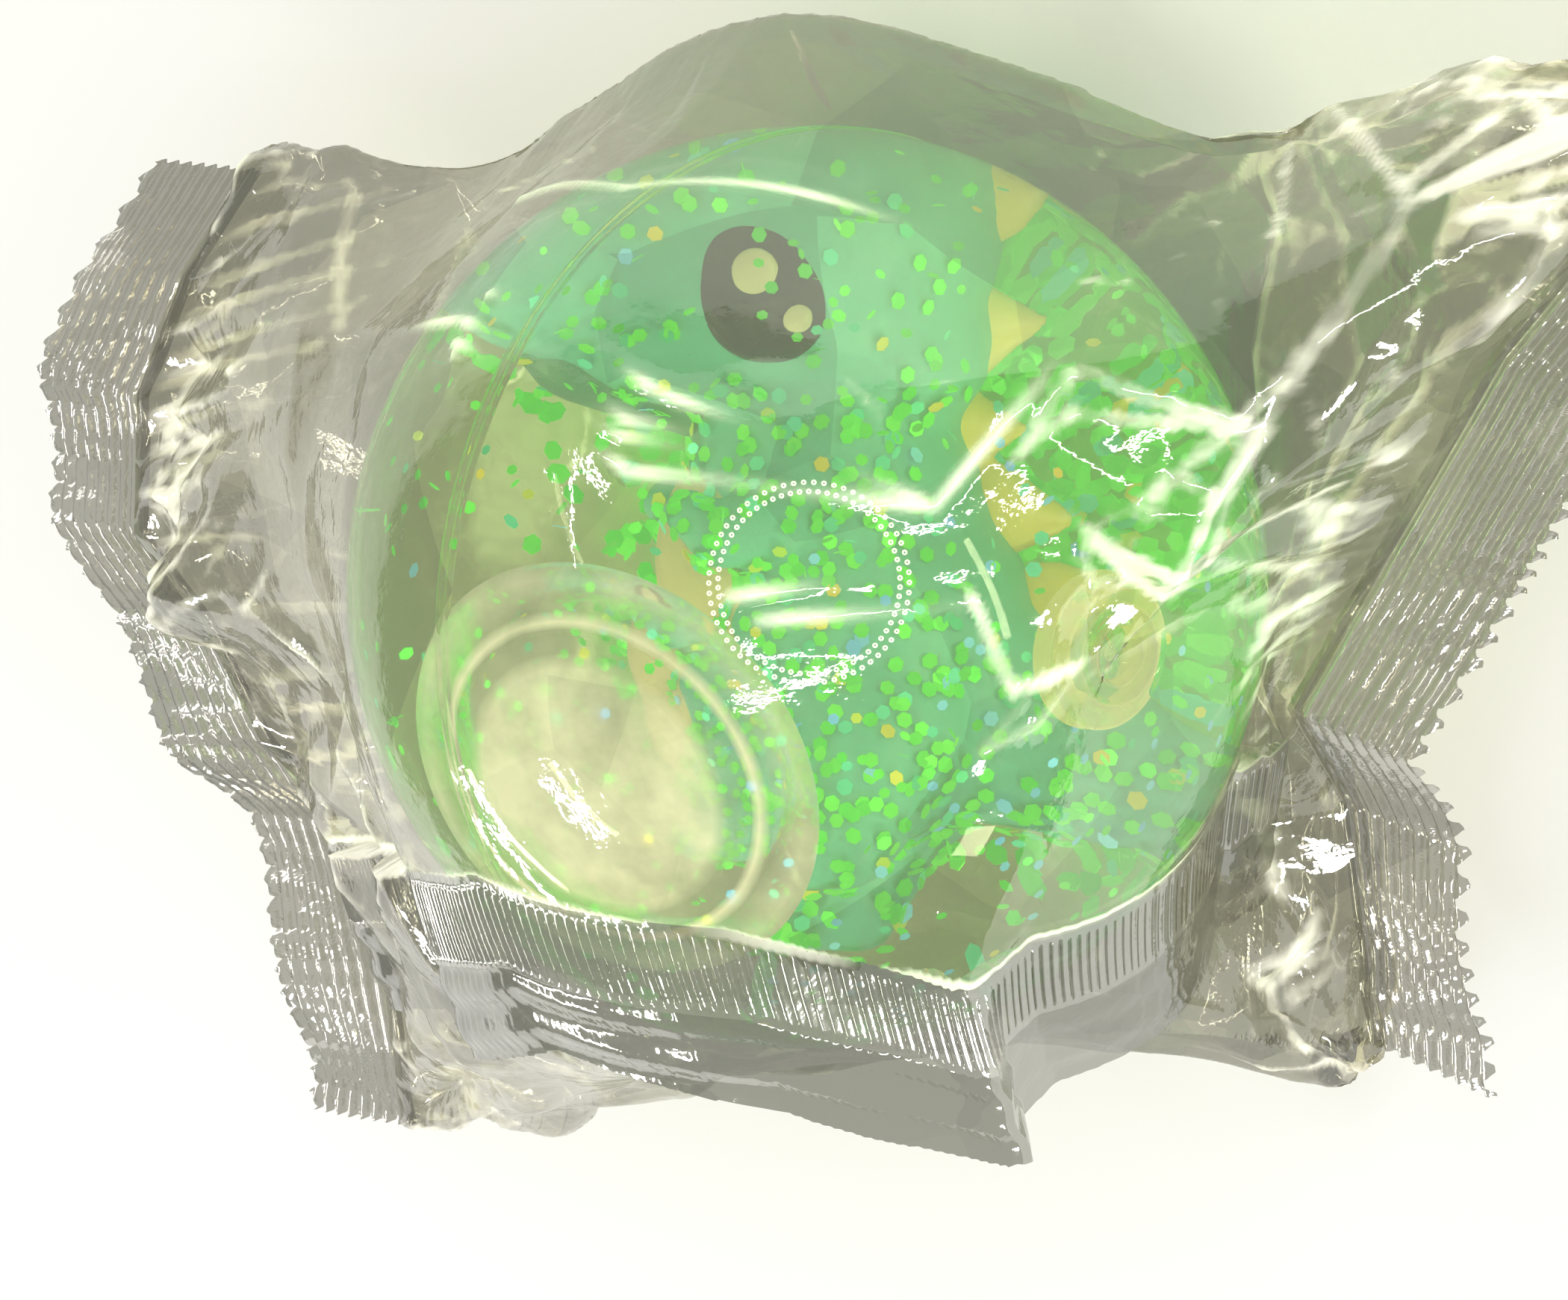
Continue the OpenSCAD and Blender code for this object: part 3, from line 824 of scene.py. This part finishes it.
def crushed(grid):
    """The taut film with its slack taken up in pleats and creases, and how much painted highlight each point
    gets where it is creased.
    """
    normal = outward(grid)
    real_round = np.linalg.norm(np.diff(grid, axis=1), axis=2).sum(axis=1)
    slack = np.clip(tube_round / real_round - 1.0, 0.0, 0.3)[:, None]
    s, v = np.linspace(0, 1, stations)[:, None], np.linspace(0, 1, around)[None, :]
    at_end = np.exp(-np.minimum(s, 1 - s) / 0.13)
    free = np.clip(np.minimum(s, 1 - s) / 0.03, 0, 1)
    wave = pleat_count * v + 0.5 * np.sin(9 * v + 3) + 0.3 * np.sin(31 * v + 8 * s)
    pleats = (np.abs(2 * (wave - np.floor(wave + 0.5))) * 2 - 1) * pleat_high * slack / 0.25
    patches = creased(26 * MM, 1.0, 11)
    height = creased(22 * MM, 3.2 * MM, 3) * (0.6 + at_end)
    height += creased(9 * MM, 1.9 * MM, 5) * np.clip(0.45 + 0.8 * patches + at_end, 0.1, 1.3)
    height += creased(4.2 * MM, 0.8 * MM, 8) * np.clip(0.8 * patches + 1.4 * at_end - 0.1, 0.0, 1.3)
    height = (height + pleats * at_end) * free
    off_ball = np.linalg.norm(grid - np.array(ball_centre), axis=2) - film_r
    cling = np.clip(off_ball / (6 * MM), 0.0, 1.0)
    folds, white = fold_ridges(grid)
    height = height * (0.12 + 0.88 * cling) + 0.25 * MM * (1 - cling)
    bend = np.abs(np.diff(height, 2, axis=0, append=0, prepend=0))
    bend += np.abs(np.diff(height, 2, axis=1, append=0, prepend=0))
    bend = sum(np.roll(bend, (i, j), (0, 1)) for i in (-1, 0, 1) for j in (-1, 0, 1)) / 9
    painted_crease_highlight_amount = np.maximum(np.clip((bend - 0.07 * MM) / (0.16 * MM), 0, 0.8), white) * free
    return drawn_in(grid + normal * (height + folds * free)[..., None]), painted_crease_highlight_amount


def grid_mesh(name, grid, closed=False):
    """A surface through a grid of points. closed joins its last column to its first."""
    rows, columns = grid.shape[:2]
    if closed:
        columns -= 1
        grid = grid[:, :columns]
    index = np.arange(rows * columns).reshape(rows, columns)
    if closed:
        index = np.hstack([index, index[:, :1]])
    faces = np.stack([index[:-1, :-1], index[1:, :-1], index[1:, 1:], index[:-1, 1:]], axis=-1)
    mesh = bpy.data.meshes.new(name)
    mesh.from_pydata(grid.reshape(-1, 3).tolist(), [], faces.reshape(-1, 4).tolist())
    return mesh


def clear_film(name, tint, veil_share, gloss, roughness):
    """Cast polypropylene film: glossy, with painted shade in darker facets from a Voronoi pattern, standing
    in for dark reflections, and a painted highlight of white veil along its creases.
    """
    made, tree = start_material(name)
    place = add(tree, "TexCoord")
    crinkle = add(tree, "TexNoise", {"Vector": place.outputs["Object"], "Scale": 260.0, "Detail": 4.0})
    bump = add(tree, "Bump", {"Strength": 0.3, "Distance": 0.0006, "Height": crinkle.outputs["Fac"]})
    mirror = add(tree, "BsdfGlossy", {
        "Color": linear("#ffffff"), "Roughness": roughness, "Normal": bump.outputs[0]})
    # Painted shade: the Voronoi pattern darkens some facets of the tint, in place of dark reflections.
    facets = add(tree, "TexVoronoi", {"Vector": place.outputs["Object"], "Scale": 62.0})
    facet_painted_shade = add(tree, "ValToRGB", {"Fac": facets.outputs["Color"]})
    facet_painted_shade.color_ramp.elements[0].position, facet_painted_shade.color_ramp.elements[1].position = 0.25, 0.62
    facet_painted_shade.color_ramp.elements[0].color = [share * 0.76 for share in linear(tint)[:3]] + [1.0]
    facet_painted_shade.color_ramp.elements[1].color = linear(tint)
    open_way = add(tree, "BsdfTransparent", {"Color": facet_painted_shade.outputs["Color"]})
    lit_behind = add(tree, "BsdfTranslucent", {"Color": linear("#f1efe6"), "Normal": bump.outputs[0]})
    lit_before = add(tree, "BsdfDiffuse", {"Color": linear("#f1efe6"), "Normal": bump.outputs[0]})
    veil = add(tree, "AddShader", {0: lit_behind.outputs[0], 1: lit_before.outputs[0]})
    # Painted highlight: creases and fold crests are mixed toward the white veil, standing in for their
    # glints.
    crease = add(tree, "Attribute", attribute_name="crease_painted_highlight")
    white = add(tree, "Math", {0: crease.outputs["Fac"], 1: 0.85, 2: veil_share}, operation="MULTIPLY_ADD")
    body = add(tree, "MixShader", {0: white.outputs[0], 1: open_way.outputs[0], 2: veil.outputs[0]})
    edge = add(tree, "LayerWeight", {"Blend": 0.5, "Normal": bump.outputs[0]})
    steep = add(tree, "Math", {0: edge.outputs["Facing"], 1: 5.0}, operation="POWER")
    share = add(tree, "Math", {0: steep.outputs[0], 1: 0.6, 2: gloss}, operation="MULTIPLY_ADD")
    film = add(tree, "MixShader", {0: share.outputs[0], 1: body.outputs[0], 2: mirror.outputs[0]})
    show(tree, through(tree, film, "#f6f4ec"))
    return made


film_grid, painted_crease_highlight_amount = crushed(taut_grid())
bag_film = as_piece("bag_film", grid_mesh("bag_film", film_grid, closed=True), clear_film(
    "polypropylene_film_cast", "#cdccbf", 0.02, 0.14, 0.06), "bag")
# The painted highlight along the creases is kept on the film's points.
crease_painted_highlight = bag_film.data.attributes.new("crease_painted_highlight", "FLOAT", "POINT")
crease_painted_highlight.data.foreach_set("value", painted_crease_highlight_amount[:, :-1].ravel())
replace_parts(bag_film, "film_upper", "film_lower")


# ---- End seals ----
# Hot ribbed jaws press lines along both ends, and a zigzag knife cuts them. The stiff band kinks
# where the bag was squeezed.
crimped_material = clear_film("polypropylene_film_crimped", "#a4a398", 0.05, 0.30, 0.10)
seal_wide, tooth_deep, tooth_pitch, overlap = 11 * MM, 1.4 * MM, 2.7 * MM, 1.5 * MM
crimp_lines = 8


def end_seal(name, end):
    """The sealed band: its root follows the film's end, and it runs on from there."""
    place, length, table = ends[end]
    rows, columns = int(length / (0.3 * MM)), crimp_lines * 6
    y = np.linspace(-0.5, 0.5, rows)[:, None] * length
    w = np.linspace(0, 1, columns)[None, :]
    saw = np.abs(((y / tooth_pitch) % 1.0) - 0.5) * 2
    run = (seal_wide - tooth_deep * saw) * w - overlap * (1 - w)
    draw = np.random.default_rng(len(name))
    ribs = 0.42 * MM * np.sin(2 * math.pi * crimp_lines * run / seal_wide)
    wave = sum(draw.uniform(0.5, 1.0) * MM * np.sin(y / (size * MM) + draw.uniform(0, 6))
               for size in (3.4, 5.5, 8.0, 13.0)) * w
    dents = 0.5 * MM * np.sin(y / (1.6 * MM) + 3 * w) * np.clip(np.sin(y / (6.5 * MM)), 0, 1) ** 3
    across = bend_at(table, 1, y / MM) * MM + run
    rise = bend_at(table, 2, y / MM) * MM + ribs * np.clip(w * 10, 0, 1) + wave + dents
    grid = np.array(place.translation) + across[..., None] * np.array(place.to_3x3().col[0])
    grid = grid + (y + 0 * w)[..., None] * np.array(place.to_3x3().col[1])
    grid[..., 2] += rise
    seal = as_piece(name, grid_mesh(name, grid), crimped_material, "bag")
    return seal


for name, end, node in (("seal_band_far", "far", "far_end_seal"),
                        ("seal_band_plug", "plug", "plug_end_seal")):
    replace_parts(end_seal(name, end), node)


# ---- Fin seal ----
# The tube's long seam: both edges of the film pressed together between ribbed rollers, with a
# loose edge left beyond the band. It stands off the bag like a peak and folds at the tent.
band_wide, edge_wide, rib_pitch = 9 * MM, 10 * MM, 1.05 * MM
root_line = film_grid[2:-2, 0]
root_steps = np.linalg.norm(np.diff(root_line, axis=0), axis=1)
root_line = root_line[np.concatenate([[True], root_steps > 1e-6])]


def fin_grid(start, stop, columns):
    """The fin from start to stop, in metres out from its root."""
    steps = np.concatenate([[0], np.cumsum(np.linalg.norm(np.diff(root_line, axis=0), axis=1))])
    rows = int(steps[-1] / (0.26 * MM))
    at = np.linspace(0, steps[-1], rows)
    line = np.stack([np.interp(at, steps, root_line[:, k]) for k in range(3)], axis=1)
    fold = int(np.argmin(np.linalg.norm(line - np.array(ball_centre + tent * MM), axis=1)))
    t = np.arange(rows)
    places = [0, rows * 0.25, fold, fold + rows * 0.02, rows - 1]
    leans = [(0.10, 0.99, -0.05), (0.0, 0.99, 0.05), (0.12, 0.98, -0.12),
             (0.32, 0.92, -0.18), (0.42, 0.90, -0.12)]
    out = np.stack([np.interp(t, places, [lean[k] for lean in leans]) for k in range(3)], axis=1)
    out /= np.linalg.norm(out, axis=1, keepdims=True)
    w = np.linspace(start, stop, columns)
    grid = line[:, None, :] + out[:, None, :] * w[None, :, None]
    sag = 1.5 * MM * np.sin(at / (9 * MM) + 1)[:, None] * (w / (19 * MM))[None, :] ** 2
    sag -= 3.5 * MM * (w / (19 * MM))[None, :] ** 2
    grid[..., 2] += sag
    return grid, at[:, None], w[None, :]


grid, at, w = fin_grid(0.0, band_wide, 28)
inside_band = np.clip(np.minimum(w - 0.8 * MM, band_wide - 0.5 * MM - w) / (0.4 * MM), 0, 1)
grid[..., 2] += 0.26 * MM * np.sin(2 * math.pi * at / rib_pitch) * inside_band
fin_band = as_piece("fin_seal_band", grid_mesh("fin_seal_band", grid), crimped_material, "bag")
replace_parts(fin_band, "fin_seal")

grid, at, w = fin_grid(band_wide, band_wide + edge_wide, 26)
grid[..., 2] += 0.3 * MM * np.sin(w / (0.75 * MM) + np.sin(at / (15 * MM))) * (w > band_wide)
fin_loose = as_piece("fin_loose_edge", grid_mesh("fin_loose_edge", grid), clear_film(
    "polypropylene_film_double", "#8f9086", 0.04, 0.20, 0.08), "bag")
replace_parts(fin_loose, "fin_edge")


# ---- Vent holes ----
# Two rings of pin-holes let the air out as the bag is packed. Each hot pin leaves a raised lip, and the lips'
# white is a painted glint.
vent_way = Vector((-0.529, -0.383, 0.757))
vent_frame = Matrix.Translation(ball_centre) @ vent_way.to_track_quat("Z", "Y").to_matrix().to_4x4()
film_tree = BVHTree.FromPolygons(
    [tuple(p) for p in film_grid.reshape(-1, 3)],
    [(i * around + j, (i + 1) * around + j, (i + 1) * around + j + 1, i * around + j + 1)
     for i in range(stations - 1) for j in range(around - 1)])
lips = bmesh.new()
for ring_r, pins in ((7.6 * MM, 62), (6.9 * MM, 62)):
    for i in range(pins):
        a = 2 * math.pi * (i + 0.5 * (ring_r < 7 * MM)) / pins
        over = vent_frame @ Vector((ring_r * math.cos(a), ring_r * math.sin(a), 60 * MM))
        spot, facing = film_tree.ray_cast(over, -vent_way)[:2]
        facing = facing if facing.dot(vent_way) > 0 else -facing
        turn = facing.to_track_quat("Z", "Y").to_matrix().to_4x4()
        rings = []
        for radius, height in ((0.08, 0.0), (0.11, 0.08), (0.16, 0.10), (0.22, 0.02)):
            rings.append([lips.verts.new(Matrix.Translation(spot) @ turn @ Vector((
                radius * MM * math.cos(b), radius * MM * math.sin(b), height * MM)))
                for b in (2 * math.pi * k / 8 for k in range(8))])
        for low, high in zip(rings, rings[1:]):
            for k in range(8):
                lips.faces.new((low[k], high[k], high[(k + 1) % 8], low[(k + 1) % 8]))
vent_mesh = bpy.data.meshes.new("vent_holes")
lips.to_mesh(vent_mesh)
lips.free()
# Painted highlight: the lips are white to stand in for the glints on each pin-hole's rim.
vent_holes = as_piece("vent_holes", vent_mesh, clear_film(
    "polypropylene_lip_painted_glint", "#ffffff", 0.75, 0.15, 0.15), "bag")
